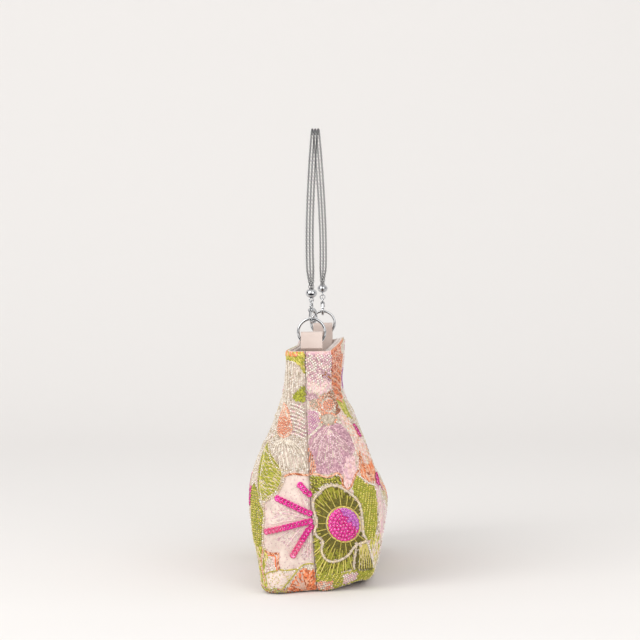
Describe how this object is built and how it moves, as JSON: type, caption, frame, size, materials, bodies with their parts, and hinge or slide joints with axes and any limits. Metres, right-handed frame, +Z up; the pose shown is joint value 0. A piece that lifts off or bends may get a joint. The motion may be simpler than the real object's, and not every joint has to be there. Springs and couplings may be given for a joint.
{
  "type": "evening bag",
  "caption": "Small embroidered satin evening bag with a narrow neck, a full belly, a flat base, and a chain handle clipped to rings at both ends.",
  "frame": {"origin": "middle of the flat base, on the surface that the bag stands on", "axes": "+Z up, X along the bag's length with the near end at -X, the front faces -Y"},
  "size_m": [0.224, 0.0924, 0.3006],
  "materials": {
    "embroidered_satin": "satin covered with silk stitching, beads and cup sequins in lilac, coral, green and magenta",
    "base_satin": "plain pale satin",
    "board": "matt grey board",
    "lining_satin": "plain pale satin",
    "band_satin": "plain pale satin over a stiffener",
    "strap_satin": "pale blush satin",
    "snap_metal": "bright nickel",
    "ring_chrome": "polished",
    "clasp_chrome": "polished",
    "cap_chrome": "polished",
    "chain_metal": "bright, fine links"
  },
  "bodies": {
    "bag": {"front_panel": "embroidered_satin", "back_panel": "embroidered_satin", "base_panel": "base_satin", "base_board": "board", "lining_base": "lining_satin", "lining_front": "lining_satin", "lining_back": "lining_satin", "band_front": "band_satin", "band_back": "band_satin", "snap_socket": "snap_metal", "snap_stud": "snap_metal", "snap_washer_back": "snap_metal", "snap_washer_front": "snap_metal", "tab_near": "strap_satin", "tab_far": "strap_satin"},
    "near_ring": {"ring_near": "ring_chrome"},
    "far_ring": {"ring_far": "ring_chrome"},
    "near_clasp": {"clasp_near": "clasp_chrome", "gate_pin_near": "clasp_chrome", "jump_ring_near": "ring_chrome"},
    "far_clasp": {"clasp_far": "clasp_chrome", "gate_pin_far": "clasp_chrome"},
    "near_gate": {"gate_near": "clasp_chrome"},
    "far_gate": {"gate_far": "clasp_chrome"},
    "chain_handle": {"end_cap_near": "cap_chrome", "end_cap_far": "cap_chrome", "jump_ring_far": "ring_chrome", "chain_strand_back": "chain_metal", "chain_strand_middle": "chain_metal", "chain_strand_front": "chain_metal"}
  },
  "joints": [
    {"name": "near_ring_turn", "type": "hinge", "parent": "bag", "child": "near_ring", "pos_m": [-0.10595, 0.0015, 0.1675], "axis": [1, 0, 0], "continuous": true},
    {"name": "far_ring_turn", "type": "hinge", "parent": "bag", "child": "far_ring", "pos_m": [0.10595, 0.0015, 0.1625], "axis": [1, 0, 0], "continuous": true},
    {"name": "handle_swing", "type": "hinge", "parent": "bag", "child": "near_clasp", "pos_m": [-0.10595, 0.0015, 0.1675], "axis": [0.9997, 0, -0.0236], "range_deg": [-62, 62]},
    {"name": "far_clasp_swing", "type": "hinge", "parent": "bag", "child": "far_clasp", "pos_m": [0.10595, 0.0015, 0.1625], "axis": [0.9997, 0, -0.0236], "range_deg": [-62, 62]},
    {"name": "handle_fold", "type": "hinge", "parent": "near_clasp", "child": "chain_handle", "pos_m": [-0.1069, 0.00132, 0.18794], "axis": [0.9994, 0.0009, -0.0333], "range_deg": [-75, 75]},
    {"name": "near_gate_press", "type": "hinge", "parent": "near_clasp", "child": "near_gate", "pos_m": [-0.10767, 0.00175, 0.18154], "axis": [-0.5734, -0.8192, 0.0135], "range_deg": [0, 24], "stiffness_Nm_per_rad": 0.005},
    {"name": "far_gate_press", "type": "hinge", "parent": "far_clasp", "child": "far_gate", "pos_m": [0.10499, 0.0015, 0.17701], "axis": [0, -1, 0], "range_deg": [0, 24], "stiffness_Nm_per_rad": 0.005}
  ],
  "couplings": [
    {"joint": "far_clasp_swing", "follows": "handle_swing", "ratio": 1}
  ]
}
